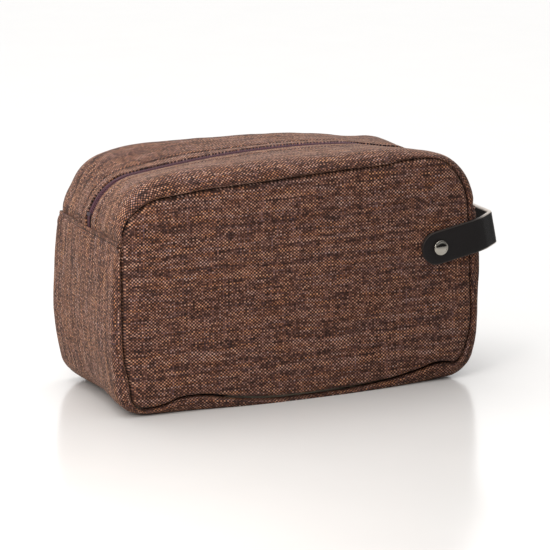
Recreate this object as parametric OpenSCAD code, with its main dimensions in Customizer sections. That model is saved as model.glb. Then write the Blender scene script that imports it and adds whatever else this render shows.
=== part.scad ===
// Zipped wash bag: a padded, fabric-covered box bag with a coil zip over the
// top and a riveted leather grab handle round its right-hand end.
// X runs along the bag, -Y is the front, Z is up and the floor is at Z = 0.

/* [Bag] */
// Depth over the front and rear panels
bag_d = 112; // [100:1:130]
// Radius of the rolled edge where the gusset meets a panel
edge_r = 9; // [8:0.5:12]
// Gap left along each seam line, where the needle pulls it in
seam_gap = 0.2; // [0.1:0.05:0.5]

/* [Outline seen from the front] */
// Radius of the shallow crown along the top
crown_r = 620; // [450:10:900]
// Radius of each shoulder, which the zip goes round
shoulder_r = 36; // [32:1:40]
// Distance of each shoulder's centre from the middle of the bag
shoulder_x = 90; // [80:1:100]
// Height of each shoulder's centre
shoulder_z = 112; // [105:1:120]
// Radius of each bulging side
side_r = 400; // [350:10:500]
// Height of the fullest point of each side
side_z = 60; // [50:1:70]
// Radius of each bottom corner
foot_r = 18; // [15:1:22]

/* [Layers] */
// Woven outer fabric
shell_t = 1.2; // [0.8:0.1:1.6]
// Foam padding
foam_t = 4; // [3:0.5:4.5]
// Lining fabric
lining_t = 0.8; // [0.4:0.1:1]

/* [Zip] */
// Distance of each strip's folded edge from the middle of the zip
lip_gap = 4.8; // [4.6:0.1:6]
// Width of the gap kept for the slider's post
chain_gap = 1.6; // [1.4:0.1:2]
// Width of each coil
coil_w = 2; // [1.8:0.1:2.2]
// Thickness of the coils
coil_t = 2.2; // [2:0.1:2.4]
// Width of each woven tape beside its coil
tape_w = 11.7; // [10:0.1:12]
// Thickness of the tapes
tape_t = 0.6; // [0.4:0.1:0.8]
// Where the closed slider stands on the right shoulder, above level
slider_angle = 30; // [28:1:32]

/* [Pull tab] */
// Reach of the tab from its pivot
tab_len = 19; // [15:1:19]
// Width of the tab
tab_w = 7; // [6:0.5:8]
// Thickness of the tab
tab_t = 1.2; // [1:0.1:1.4]
// Lean of the hanging tab onto the slider
tab_lean = 2; // [0:0.5:2]

/* [Handle] */
// Width of the leather strap
strap_w = 22; // [18:1:24]
// Thickness of the leather strap
strap_t = 2.8; // [2:0.1:3]
// Furthest reach of the strap from the middle of the bag
strap_x = 142; // [140:1:150]
// Distance of the rivets from the middle of the bag
rivet_x = 98.8; // [95:0.1:102]
// Height of the rivets
rivet_z = 91; // [85:1:95]
// Rise of the strap from level, as it rests
strap_rise = 11; // [5:1:11]
// Diameter of each rivet cap
rivet_d = 10; // [8:0.5:12]

/* [Hidden] */

fine = 96;
half_d = bag_d / 2;

// Layer boundaries, measured inwards from the outer surface
foam_in = shell_t;
lining_in = shell_t + foam_t;
hollow_in = lining_in + lining_t;

// Centres and meeting angles of the outline's arcs, which run into each other
crown_z = shoulder_z - sqrt(pow(crown_r - shoulder_r, 2) - pow(shoulder_x, 2));
crown_half = asin(shoulder_x / (crown_r - shoulder_r));
side_top = asin((shoulder_z - side_z) / (side_r - shoulder_r));
side_x = shoulder_x - (side_r - shoulder_r) * cos(side_top);
side_foot = -asin((side_z - foot_r) / (side_r - foot_r));
foot_x = side_x + (side_r - foot_r) * cos(side_foot);
zip_end = asin((shoulder_z - side_z) / side_r);

// The zip's chain, between the crimped stops
chain_end = 18.5;
stop_end = 15;
coil_top = 0.4;
coil_foot = coil_top + coil_t;
coil_in = chain_gap / 2;
coil_out = coil_in + coil_w;
tape_out = coil_out + tape_w;
stop_w = coil_w - 0.1;
binding_t = 2.2;

// The slider, as distances out from the zip's outer surface
pivot_out = 2.55;
slider_len = 11;

// The handle, lying just clear of the panels
strap_clear = 0.3;
strap_in = half_d + strap_clear;
strap_out = strap_in + strap_t;
tab_end_r = strap_w / 2;
post_d = 3.2;
post_bore_d = 3.6;
cap_clear = 0.25;
socket_h = 0.8;
washer_t = 0.8;
washer_d = 14;

weave = "sienna";
weave_dark = "saddlebrown";
lining_black = "dimgray";
zip_plum = "indigo";
leather = "black";
steel = "silver";

// ---------- the bag's outline ----------
// A station is [centre x, centre z, radius, angle]: one place on the outline,
// seen from the front. Stations run clockwise from the zip's left-hand end.

function arc_stations(x, z, r, from, to, steps) =
    [for (i = [1 : steps]) [x, z, r, from + (to - from) * i / steps]];

function stations_between(from_shoulder) = concat(
    arc_stations(-shoulder_x, shoulder_z, shoulder_r, 180 - from_shoulder, 90 + crown_half, 12),
    arc_stations(0, crown_z, crown_r, 90 + crown_half, 90 - crown_half, 8),
    arc_stations(shoulder_x, shoulder_z, shoulder_r, 90 - crown_half, from_shoulder, 12));

// Over the top, from one end of the zip strips to the other
strip_path = concat(
    [[-side_x, side_z, side_r, 180 - zip_end], [-side_x, side_z, side_r, 180 - side_top]],
    stations_between(side_top),
    [[side_x, side_z, side_r, zip_end]]);

// Over the top between the zip's stops
chain_path = concat([[-shoulder_x, shoulder_z, shoulder_r, 180 - chain_end]],
    stations_between(chain_end));

// Down the right side, along the base and up the left side
gusset_path = concat(
    [[side_x, side_z, side_r, zip_end - 0.04]],
    arc_stations(side_x, side_z, side_r, zip_end - 0.04, side_foot, 4),
    arc_stations(foot_x, foot_r, foot_r, side_foot, -90, 8),
    [[-foot_x, foot_r, foot_r, -90]],
    arc_stations(-foot_x, foot_r, foot_r, -90, -180 - side_foot, 8),
    arc_stations(-side_x, side_z, side_r, -180 - side_foot, 0.04 - 180 - zip_end, 4));

function outline(inset) = [for (s = concat(strip_path, gusset_path))
    [s[0] + (s[2] - inset) * cos(s[3]), s[1] + (s[2] - inset) * sin(s[3])]];

// Flat layer of the front panel between two depths
module front_plate(inset, from, to)
    translate([0, to - half_d, 0])
        rotate([90, 0, 0])
            linear_extrude(to - from)
                polygon(outline(inset));

// Hole for the rivet post through every layer at the front
module rivet_hole(d = post_d)
    translate([rivet_x, 0, rivet_z])
        rotate([90, 0, 0])
            cylinder(h = bag_d, d = d, $fn = fine);

module to_rear() mirror([0, 1, 0]) children();

// ---------- sections of the gusset and zip strips ----------
// In a section, x is the distance out from the outline (0 at the surface)
// and y is the distance forwards from the middle of the bag.

// Rolled edge at the front, from the side wall round to the seam
function roll_points(inset) = [for (i = [0 : 5])
    let (a = 88 * i / 5, r = edge_r - inset)
    [r * cos(a) - edge_r, half_d - edge_r + r * sin(a)]];

function reversed(points) = [for (i = [len(points) - 1 : -1 : 0]) points[i]];
function flipped(points) = [for (point = reversed(points)) [point[0], -point[1]]];

// One layer of a zip strip, from its edge beside the zip to the seam
function strip_section(from, to, y_edge) = concat(
    [[-from, y_edge]], roll_points(from), reversed(roll_points(to)), [[-to, y_edge]]);

// One layer of the gusset, from seam to seam
function gusset_section(from, to) = concat(
    flipped(roll_points(from)), roll_points(from),
    reversed(roll_points(to)), reversed(flipped(roll_points(to))));

function flat_section(from, to, y_from, y_to) =
    [[-from, y_from], [-from, y_to], [-to, y_to], [-to, y_from]];

// Solid of one section carried along the outline's stations
module swept(section, path) {
    count = len(section);
    last = (len(path) - 1) * count;
    points = [for (s = path, p = section)
        [s[0] + (s[2] + p[0]) * cos(s[3]), -p[1], s[1] + (s[2] + p[0]) * sin(s[3])]];
    walls = [for (ring = [0 : len(path) - 2], i = [0 : count - 1])
        let (a = ring * count, j = (i + 1) % count)
        [a + i, a + j, a + count + j, a + count + i]];
    caps = [[for (i = [count - 1 : -1 : 0]) i], [for (i = [0 : count - 1]) last + i]];
    polyhedron(points = points, faces = concat(walls, caps));
}

// True arc of a section drawn by children, for the small parts of the zip
module sweep(centre, r, from, to)
    translate([centre[0], 0, centre[1]])
        rotate([90, 0, 0])
            rotate([0, 0, from])
                rotate_extrude(angle = to - from, $fn = 4 * fine)
                    translate([r, 0])
                        children();

// ---------- shell, padding and lining ----------

module front_panel()
    color(weave) difference() {
        front_plate(edge_r + seam_gap / 2, 0, foam_in);
        rivet_hole();
    }

module rear_panel() to_rear() front_panel();

module lower_gusset()
    color(weave_dark) swept(gusset_section(0, foam_in), gusset_path);

module front_zip_strip()
    color(weave) swept(strip_section(0, foam_in, lip_gap), strip_path);

module rear_zip_strip() to_rear() front_zip_strip();

module front_foam()
    color("wheat") difference() {
        front_plate(edge_r + seam_gap / 2, foam_in, lining_in);
        rivet_hole();
    }

module rear_foam() to_rear() front_foam();

module gusset_foam()
    color("wheat") swept(gusset_section(foam_in, lining_in), gusset_path);

module front_strip_foam()
    color("wheat") swept(strip_section(foam_in, lining_in, tape_out + 0.5), strip_path);

module rear_strip_foam() to_rear() front_strip_foam();

module front_lining()
    color(lining_black) difference() {
        front_plate(edge_r + seam_gap / 2, lining_in, hollow_in);
        rivet_hole();
    }

module rear_lining() to_rear() front_lining();

module gusset_lining()
    color(lining_black) swept(gusset_section(lining_in, hollow_in), gusset_path);

module front_strip_lining()
    color(lining_black) swept(strip_section(lining_in, hollow_in, lip_gap + 0.7), strip_path);

module rear_strip_lining() to_rear() front_strip_lining();

// ---------- bindings inside the seams ----------

// Tape folded over the seam's raw edges; its two ends meet at the zip's left end
module front_seam_binding()
    color(lining_black)
        swept(flat_section(edge_r + 0.4, edge_r + 8, half_d - hollow_in - binding_t, half_d - hollow_in),
            concat(strip_path, gusset_path));

module rear_seam_binding() to_rear() front_seam_binding();

// Binding across the end of the zip, where the strips meet the lower gusset
module right_end_binding()
    color(lining_black)
        swept(flat_section(hollow_in + 0.3, hollow_in + 1.5, 10 - half_d, half_d - 10),
            arc_stations(side_x, side_z, side_r, zip_end, zip_end - 1.2, 2));

module left_end_binding() mirror([1, 0, 0]) right_end_binding();

// ---------- zip ----------

module front_zip_tape()
    color(zip_plum) swept(flat_section(shell_t, shell_t + tape_t, coil_out, tape_out), strip_path);

module rear_zip_tape() to_rear() front_zip_tape();

module front_zip_coil()
    color(zip_plum) swept(flat_section(coil_top, coil_foot, coil_in, coil_out), chain_path);

module rear_zip_coil() to_rear() front_zip_coil();

// Two crimps that the closed slider stops against
module zip_top_stops()
    color(steel) sweep([shoulder_x, shoulder_z], shoulder_r, stop_end, chain_end - 0.3)
        for (side = [-1, 1])
            translate([-coil_foot - 0.2, side * (coil_in + coil_w / 2) - stop_w / 2])
                square([coil_t + 0.4, stop_w]);

// One clamp across both coils at the other end
module zip_bottom_stop()
    color(steel) sweep([-shoulder_x, shoulder_z], shoulder_r, 180.3 - chain_end, 180 - stop_end)
        translate([-coil_foot - 0.3, -coil_out + 0.05])
            square([coil_t + 0.6, 2 * coil_out - 0.1]);

// Put the slider's own frame on the shoulder: x out of the zip, z up along it
module on_zip()
    translate([shoulder_x, 0, shoulder_z])
        rotate([0, -slider_angle, 0])
            translate([shoulder_r, 0, 0])
                children();

// Cylinder about the shoulder's centre, in the slider's frame
module shoulder_drum(out)
    translate([-shoulder_r, 0, 0])
        rotate([90, 0, 0])
            cylinder(h = 40, r = shoulder_r + out, center = true, $fn = 4 * fine);

// Outline of a wing: broad where the open chain goes in, narrow where it leaves
module wing_outline(from, to)
    translate([from, 0, 0])
        rotate([90, 0, 90])
            linear_extrude(to - from)
                intersection() {
                    polygon([[-4.3, -2.4], [-2.6, -slider_len / 2], [2.6, -slider_len / 2], [4.3, -2.4],
                        [3.7, slider_len / 2], [-3.7, slider_len / 2]]);
                    circle(d = slider_len + 1.2, $fn = fine);
                }

module slider_body() {
    post_back = 0.8;
    tape_clear = 0.25;
    color(steel) on_zip() {
        // upper wing over the coils, with its two side walls
        difference() {
            wing_outline(-1.6, 1.5);
            shoulder_drum(-shell_t + tape_clear);
            difference() {
                translate([-3, 0.9 - 4.3, -20])
                    cube([6, 2 * 3.4, 40]);
                difference() {
                    cube(60, center = true);
                    shoulder_drum(-coil_top + 0.25);
                }
            }
        }
        // lower wing under the coils
        difference() {
            intersection() {
                wing_outline(-4.3, -1.5);
                shoulder_drum(-shell_t - tape_t - tape_clear);
            }
            difference() {
                translate([-6, 0.9 - 4.3, -20])
                    cube([6, 2 * 3.4, 40]);
                shoulder_drum(-coil_foot - 0.3);
            }
        }
        // post that parts the two coils
        translate([-3.6, -0.5, post_back - slider_len / 2])
            cube([4, 1, 3.4]);
    }
}

// Arch that the tab's bar hangs under
module slider_crown()
    color(steel) on_zip()
        translate([1.5, 1.3, 0])
            rotate([90, 0, 0])
                linear_extrude(2.6)
                    intersection() {
                        difference() {
                            circle(r = 3.4, $fn = fine);
                            circle(r = 1.95, $fn = fine);
                        }
                        translate([0, -5])
                            square([5, 10]);
                    }

// Flat tab on a bar and two arms that straddle the arch, hanging down the zip
module pull_tab() {
    arm_in = 1.7;
    arm_out = 2.9;
    plate_from = 4.7;
    end_r = tab_w / 2;
    color(steel) on_zip()
        translate([pivot_out, 0, 0])
            rotate([0, -tab_lean, 0]) {
                rotate([90, 0, 0])
                    cylinder(h = 2 * arm_out, d = 1.4, center = true, $fn = fine);
                for (side = [-1, 1])
                    translate([-tab_t / 2, side > 0 ? arm_in : -arm_out, -plate_from - 0.5])
                        cube([tab_t, arm_out - arm_in, plate_from + 0.5]);
                translate([-tab_t / 2, 0, 0])
                    rotate([90, 0, 90])
                        linear_extrude(tab_t)
                            difference() {
                                union() {
                                    translate([-end_r, end_r - tab_len])
                                        square([tab_w, tab_len - end_r - plate_from]);
                                    translate([0, end_r - tab_len])
                                        circle(r = end_r, $fn = fine);
                                }
                                translate([0, end_r - tab_len])
                                    circle(r = 1.5, $fn = fine);
                            }
            }
}

// ---------- handle ----------

function arc_points(centre, r, from, to, steps) =
    [for (i = [0 : steps]) let (a = from + (to - from) * i / steps) centre + r * [cos(a), sin(a)]];

// Half of the strap's line seen from above: along the panel, in round the
// rolled edge, then a tight bend to the run along the bag's end
function strap_half(offset) = concat(
    [[rivet_x - 2 - tab_end_r, strap_in + offset], [rivet_x + 25, strap_in + offset]],
    arc_points([rivet_x + 25, strap_in - 26], 26 + offset, 90 - 6, 90 - 18, 3),
    arc_points([strap_x - 5, strap_in - 7.5], 5 - strap_t + offset, 72, 0, 8));

// The whole line, from the front tab round to the rear tab
function strap_line(offset) = concat(strap_half(offset),
    [for (point = reversed(strap_half(offset))) [point[0], -point[1]]]);

module strap_band()
    translate([0, 0, rivet_z - strap_w / 2])
        linear_extrude(strap_w)
            polygon(concat(strap_line(strap_t), reversed(strap_line(0))));

module handle_strap()
    color(leather)
        translate([rivet_x, 0, rivet_z])
            rotate([0, -strap_rise, 0])
                translate([-rivet_x, 0, -rivet_z])
                    difference() {
                        intersection() {
                            strap_band();
                            union() {
                                translate([rivet_x - 2, -bag_d, 0])
                                    cube([100, 2 * bag_d, 200]);
                                translate([rivet_x - 2, 0, rivet_z])
                                    rotate([90, 0, 0])
                                        cylinder(h = 2 * bag_d, r = tab_end_r, center = true, $fn = fine);
                            }
                        }
                        translate([rivet_x, 0, rivet_z])
                            rotate([90, 0, 0])
                                cylinder(h = 2 * bag_d, d = post_bore_d, center = true, $fn = fine);
                    }

// ---------- rivets ----------

// Spin a rivet section about the front rivet's axis, its x axis pointing out
module about_rivet(out)
    translate([rivet_x, -out, rivet_z])
        rotate([90, 0, 0])
            children();

module front_rivet_cap() {
    cap_h = 2.2;
    rim_h = 0.6;
    dome_h = cap_h - rim_h;
    ball_r = (pow(rivet_d / 2, 2) + pow(dome_h, 2)) / (2 * dome_h);
    color(steel) about_rivet(strap_out + cap_clear)
        difference() {
            intersection() {
                cylinder(h = cap_h, d = rivet_d, $fn = fine);
                translate([0, 0, cap_h - ball_r])
                    sphere(r = ball_r, $fn = fine);
            }
            translate([0, 0, -1])
                cylinder(h = 1 + socket_h, d = post_d, $fn = fine);
        }
}

module front_rivet_post() {
    flange_t = 1;
    inner = half_d - hollow_in - washer_t;
    color(steel) about_rivet(inner - flange_t) {
        cylinder(h = flange_t, d = rivet_d - 1, $fn = fine);
        cylinder(h = strap_out + cap_clear + socket_h - inner + flange_t, d = post_d, $fn = fine);
    }
}

module front_rivet_washer()
    color("gray") about_rivet(half_d - hollow_in - washer_t)
        difference() {
            cylinder(h = washer_t, d = washer_d, $fn = fine);
            translate([0, 0, -washer_t])
                cylinder(h = 3 * washer_t, d = post_d, $fn = fine);
        }

module rear_rivet_cap() to_rear() front_rivet_cap();

module rear_rivet_post() to_rear() front_rivet_post();

module rear_rivet_washer() to_rear() front_rivet_washer();

// ---------- drawing ----------

front_panel();
rear_panel();
lower_gusset();
front_zip_strip();
rear_zip_strip();
front_foam();
rear_foam();
gusset_foam();
front_strip_foam();
rear_strip_foam();
front_lining();
rear_lining();
gusset_lining();
front_strip_lining();
rear_strip_lining();
front_seam_binding();
rear_seam_binding();
left_end_binding();
right_end_binding();
front_zip_tape();
rear_zip_tape();
front_zip_coil();
rear_zip_coil();
zip_top_stops();
zip_bottom_stop();
slider_body();
slider_crown();
pull_tab();
handle_strap();
front_rivet_cap();
front_rivet_post();
front_rivet_washer();
rear_rivet_cap();
rear_rivet_post();
rear_rivet_washer();
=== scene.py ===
# A zipped wash bag with a riveted leather grab handle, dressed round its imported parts.
# X runs along the bag, -Y is its front and Z is up. Sizes in the dictionaries are millimetres.
import math

import bmesh
import bpy
import numpy as np
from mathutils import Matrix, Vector, noise


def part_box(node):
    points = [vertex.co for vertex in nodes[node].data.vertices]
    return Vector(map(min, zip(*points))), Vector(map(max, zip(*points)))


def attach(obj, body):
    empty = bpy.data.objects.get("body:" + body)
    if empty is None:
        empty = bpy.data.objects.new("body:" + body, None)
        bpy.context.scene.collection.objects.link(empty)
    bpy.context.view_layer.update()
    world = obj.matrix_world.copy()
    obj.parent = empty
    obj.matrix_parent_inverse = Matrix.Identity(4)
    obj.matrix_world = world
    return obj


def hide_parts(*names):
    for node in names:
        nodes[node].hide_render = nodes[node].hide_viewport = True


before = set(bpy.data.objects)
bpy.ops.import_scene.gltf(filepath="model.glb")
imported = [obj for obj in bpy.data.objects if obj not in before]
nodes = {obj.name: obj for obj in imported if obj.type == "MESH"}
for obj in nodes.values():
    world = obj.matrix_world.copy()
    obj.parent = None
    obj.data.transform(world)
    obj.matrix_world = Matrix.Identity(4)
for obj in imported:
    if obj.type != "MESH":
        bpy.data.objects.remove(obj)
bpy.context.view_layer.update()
print("frame loaded:", len(nodes), "parts")


# ---- small tools ----

def metres(values):
    return np.asarray(values, float) / 1000


def linearColour(code):
    parts = [int(code[i:i + 2], 16) / 255 for i in (1, 3, 5)]
    return tuple(p / 12.92 if p <= 0.04045 else ((p + 0.055) / 1.055) ** 2.4 for p in parts) + (1.0,)


# Adds one node; a socket in the inputs is linked, anything else is set
def addNode(tree, kind, inputs=None, **settings):
    node = tree.nodes.new(kind)
    for key, value in settings.items():
        setattr(node, key, value)
    for key, value in (inputs or {}).items():
        if isinstance(value, bpy.types.NodeSocket):
            tree.links.new(value, node.inputs[key])
        else:
            node.inputs[key].default_value = value
    return node


def smoothStep(values):
    x = np.clip(values, 0, 1)
    return x * x * (3 - 2 * x)


# Smooth curve through (place, value) knots; with a length it closes on itself
def throughKnots(at, knots, length=None):
    x = np.array([k[0] for k in knots], float)
    y = np.array([k[1] for k in knots], float)
    at = np.asarray(at, float)
    if length:
        x = np.concatenate([x[-2:] - length, x, x[:2] + length])
        y = np.concatenate([y[-2:], y, y[:2]])
        at = np.mod(at, length)
    slope = np.gradient(y, x)
    i = np.clip(np.searchsorted(x, at) - 1, 0, len(x) - 2)
    step = x[i + 1] - x[i]
    u = np.clip((at - x[i]) / step, 0, 1)
    return ((2 * u**3 - 3 * u**2 + 1) * y[i] + (u**3 - 2 * u**2 + u) * step * slope[i]
            + (3 * u**2 - 2 * u**3) * y[i + 1] + (u**3 - u**2) * step * slope[i + 1])


def gridFaces(rows, columns, first=0, closedRows=False, closedColumns=False, flip=False):
    faces = []
    for r in range(rows if closedRows else rows - 1):
        for c in range(columns if closedColumns else columns - 1):
            a = first + r * columns + c
            b = first + r * columns + (c + 1) % columns
            d = first + ((r + 1) % rows) * columns + c
            e = first + ((r + 1) % rows) * columns + (c + 1) % columns
            faces.append((a, d, e, b) if flip else (a, b, e, d))
    return faces


# Faces of a tube of closed rings, with a face over each end unless it runs round
def tubeFaces(rows, count, closed=False):
    faces = gridFaces(rows, count, 0, closed, True)
    if not closed:
        faces += [tuple(range(count))[::-1], tuple((rows - 1) * count + i for i in range(count))]
    return faces


def newObject(name, data):
    made = bpy.data.objects.new(name, data)
    bpy.context.scene.collection.objects.link(made)
    return made


def makePiece(name, points, faces, material, uv=None):
    mesh = bpy.data.meshes.new(name)
    mesh.from_pydata(metres(points).tolist(), [], faces)
    mesh.validate()
    if uv is not None:
        layer = mesh.uv_layers.new(name="clothMap")
        corners = np.zeros(len(mesh.loops), np.int32)
        mesh.loops.foreach_get("vertex_index", corners)
        layer.data.foreach_set("uv", np.asarray(uv, np.float32)[corners].ravel())
    mesh.polygons.foreach_set("use_smooth", [True] * len(mesh.polygons))
    mesh.materials.append(material)
    return newObject(name, mesh)


# Closed layer of cloth between an outer and an inner grid of points. A layer
# whose rows run round in a ring has its last column filled across instead.
def makeLayer(name, outer, inner, material, uv, flip=False, closedRows=False):
    rows, columns = outer.shape[:2]
    count = rows * columns
    faces = gridFaces(rows, columns, 0, closedRows, False, flip)
    faces += gridFaces(rows, columns, count, closedRows, False, not flip)
    edges = [[r * columns for r in range(rows)], [r * columns + columns - 1 for r in range(rows)]]
    for side, line in enumerate(edges[:1] if closedRows else edges):
        steps = len(line) if closedRows else len(line) - 1
        for i in range(steps):
            a, b = line[i], line[(i + 1) % len(line)]
            quad = (a, b, b + count, a + count)
            faces.append(quad if (side == 0) != flip else quad[::-1])
    if closedRows:
        fill = tuple(edges[1])
        faces.append(fill if flip else fill[::-1])
        faces.append(tuple(i + count for i in (fill[::-1] if flip else fill)))
    else:
        for side, first in enumerate((0, (rows - 1) * columns)):
            for c in range(columns - 1):
                a, b = first + c, first + c + 1
                quad = (a, b, b + count, a + count)
                faces.append(quad[::-1] if (side == 0) != flip else quad)
    points = np.concatenate([outer.reshape(-1, 3), inner.reshape(-1, 3)])
    return makePiece(name, points, faces, material, np.concatenate([uv.reshape(-1, 2)] * 2))


def gridNormals(grid, closedRows=False):
    if closedRows:
        along = np.roll(grid, -1, 0) - np.roll(grid, 1, 0)
    else:
        along = np.gradient(grid, axis=0)
    across = np.gradient(grid, axis=1)
    normal = np.cross(along, across)
    return normal / np.maximum(np.linalg.norm(normal, axis=2, keepdims=True), 1e-9)


# Unit normals of a grid that point the way of a hint, at the column where it holds
def outward(grid, hint, column, closedRows=False):
    normal = gridNormals(grid, closedRows)
    return normal * np.sign(np.sum(normal[:, column] * hint))


def softNoise(x, y, z, size):
    flat = np.stack(np.broadcast_arrays(x, y, z), -1).reshape(-1, 3) / size
    return np.array([noise.noise(Vector(p)) for p in flat]).reshape(np.broadcast(x, y, z).shape)


# ---- materials ----

# Melange polyester canvas: a plain weave of slubby yarns, rust to tan one way and
# plum, navy and brown the other. Yarns run light and dark along their length, so
# the cloth is streaked both ways; it is matt with a faint fuzz that catches light.
canvasLook = {
    "warpSpacing": 1.22, "weftSpacing": 1.06, "yarnRun": 9.0, "slubWide": 2.6, "slubLong": 20.0, "wander": 0.35,
    "threadRelief": 0.00012,
    "warp": ["#0c0605", "#1b0f0b", "#301c16", "#4b3027", "#6b4c40"],
    "weft": ["#391f17", "#694538", "#966b5a", "#b48976", "#c8a08c"],
    "roughness": 0.88, "sheen": 0.12,
}


def newMaterial(name):
    material = bpy.data.materials.new(name)
    material.use_nodes = True
    material.node_tree.nodes.clear()
    return material, material.node_tree


def finishMaterial(tree, inputs):
    shader = addNode(tree, "ShaderNodeBsdfPrincipled", inputs)
    addNode(tree, "ShaderNodeOutputMaterial", {0: shader.outputs[0]})


def mixColours(tree, share, first, second):
    return addNode(tree, "ShaderNodeMix", {0: share, 6: first, 7: second}, data_type="RGBA").outputs[2]


def scaleVector(tree, vector, factor):
    return addNode(tree, "ShaderNodeVectorMath", {0: vector, "Scale": factor}, operation="SCALE").outputs[0]


def bumpFrom(tree, height, strength, relief):
    return addNode(tree, "ShaderNodeBump", {"Height": height, "Strength": strength, "Distance": relief}).outputs[0]


# Maps 0 to 1 onto a range
def mapOnto(tree, value, low, high):
    return addNode(tree, "ShaderNodeMapRange", {0: value, 3: low, 4: high}).outputs[0]


def melangeCanvas(name, look):
    material, tree = newMaterial(name)
    uv = addNode(tree, "ShaderNodeUVMap", uv_map="clothMap").outputs[0]
    wanderNoise = addNode(tree, "ShaderNodeTexNoise", {"Vector": uv, "Scale": 0.11, "Detail": 1.0})
    centred = addNode(tree, "ShaderNodeVectorMath", {0: wanderNoise.outputs["Color"], 1: (0.5, 0.5, 0.5)},
                      operation="SUBTRACT")
    shift = scaleVector(tree, centred.outputs[0], look["wander"] * 4)
    laid = addNode(tree, "ShaderNodeVectorMath", {0: uv, 1: shift}, operation="ADD")
    split = addNode(tree, "ShaderNodeSeparateXYZ", {0: laid.outputs[0]})
    across, along = split.outputs[0], split.outputs[1]

    def maths(operation, a, b=0.0, c=0.0):
        node = addNode(tree, "ShaderNodeMath", {0: a, 1: b, 2: c}, operation=operation)
        return node.outputs[0]

    warpPlace = maths("DIVIDE", across, look["warpSpacing"])
    weftPlace = maths("DIVIDE", along, look["weftSpacing"])
    warpNumber, weftNumber = maths("FLOOR", warpPlace), maths("FLOOR", weftPlace)
    warpPart, weftPart = maths("FRACT", warpPlace), maths("FRACT", weftPlace)
    warpOver = maths("FLOORED_MODULO", maths("ADD", warpNumber, weftNumber), 2.0)

    def cloud(x, y, z, detail=1.0):
        place = addNode(tree, "ShaderNodeCombineXYZ", {0: x, 1: y, 2: z})
        settings = {"Vector": place.outputs[0], "Scale": 1.0, "Detail": detail, "Roughness": 0.6}
        return addNode(tree, "ShaderNodeTexNoise", settings).outputs["Fac"]

    crossing = addNode(tree, "ShaderNodeCombineXYZ", {0: warpNumber, 1: weftNumber, 2: 0.5})
    speck = addNode(tree, "ShaderNodeTexWhiteNoise", {"Vector": crossing.outputs[0]}).outputs["Value"]

    # Colour of one set of yarns: its own number, the run along it, and how strong its streaks are
    def yarnColour(number, onward, slub, streak, seed, colours, warm, cool):
        run = maths("DIVIDE", onward, look["yarnRun"])
        own = cloud(maths("MULTIPLY", number, 7.31), run, seed, 2.0)
        dye = cloud(maths("MULTIPLY", number, 3.17), maths("MULTIPLY", run, 0.4), seed + 11.0)
        steady = addNode(tree, "ShaderNodeTexWhiteNoise", {"W": maths("ADD", number, seed)}, noise_dimensions="1D")
        value = maths("MULTIPLY_ADD", maths("SUBTRACT", own, 0.5), 0.8, 0.5)
        value = maths("MULTIPLY_ADD", maths("SUBTRACT", steady.outputs["Value"], 0.5), 0.26, value)
        value = maths("MULTIPLY_ADD", maths("SUBTRACT", slub, 0.5), streak, value)
        value = maths("MULTIPLY_ADD", maths("SUBTRACT", speck, 0.5), 0.42, value)
        node = addNode(tree, "ShaderNodeValToRGB", {0: value})
        stops = node.color_ramp.elements
        stops.remove(stops[1])
        stops[0].position, stops[0].color = 0.15, linearColour(colours[0])
        for place, code in zip((0.34, 0.52, 0.70, 0.88), colours[1:]):
            stops.new(place).color = linearColour(code)
        spread = addNode(tree, "ShaderNodeMapRange", {0: dye, 1: 0.3, 2: 0.7})
        tint = mixColours(tree, spread.outputs[0], warm, cool)
        return addNode(tree, "ShaderNodeVectorMath", {0: node.outputs[0], 1: tint}, operation="MULTIPLY").outputs[0]

    slubUp = cloud(maths("DIVIDE", across, look["slubWide"]), maths("DIVIDE", along, look["slubLong"]), 21.3)
    slubOver = cloud(maths("DIVIDE", across, look["slubLong"]), maths("DIVIDE", along, look["slubWide"]), 35.9)
    warpColour = yarnColour(warpNumber, along, slubUp, 0.7, 3.7, look["warp"],
                            (1.18, 0.92, 0.72, 1.0), (0.68, 0.95, 1.7, 1.0))
    weftColour = yarnColour(weftNumber, across, slubOver, 0.6, 9.1, look["weft"],
                            (1.16, 0.95, 0.62, 1.0), (0.90, 1.0, 1.18, 1.0))
    woven = mixColours(tree, warpOver, weftColour, warpColour)
    # Painted shade: the colour is darkened towards the gaps between the yarns, where the weave's hollows fall in
    # shade
    ridge = maths("MULTIPLY", maths("SINE", maths("MULTIPLY", warpPart, math.pi)),
                  maths("SINE", maths("MULTIPLY", weftPart, math.pi)))
    height = maths("POWER", ridge, 0.5)
    paintedGapShade = maths("MULTIPLY_ADD", height, 1.0, 0.14)
    finishMaterial(tree, {
        "Base Color": scaleVector(tree, woven, paintedGapShade), "Normal": bumpFrom(tree, height, 0.35, look["threadRelief"]),
        "Roughness": look["roughness"], "Specular IOR Level": 0.3, "Sheen Weight": look["sheen"],
        "Sheen Roughness": 0.5, "Sheen Tint": linearColour("#c8a58c")})
    return material


# Plain woven cloth in one colour, for the lining, bindings and zip tapes
def plainCloth(name, colour, spacing, relief, roughness, sheen=0.1):
    material, tree = newMaterial(name)
    uv = addNode(tree, "ShaderNodeUVMap", uv_map="clothMap").outputs[0]
    ribs = addNode(tree, "ShaderNodeTexWave",
                   {"Vector": scaleVector(tree, uv, 1 / spacing), "Scale": 0.5, "Distortion": 0.2},
                   wave_type="BANDS", bands_direction="DIAGONAL")
    patches = addNode(tree, "ShaderNodeTexNoise", {"Vector": uv, "Scale": 0.3, "Detail": 4.0})
    base = linearColour(colour)
    dark = tuple(c * 0.6 for c in base[:3]) + (1.0,)
    finishMaterial(tree, {
        "Base Color": mixColours(tree, patches.outputs["Fac"], dark, base), "Roughness": roughness,
        "Sheen Weight": sheen, "Normal": bumpFrom(tree, ribs.outputs["Fac"], 0.5, relief)})
    return material


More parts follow.
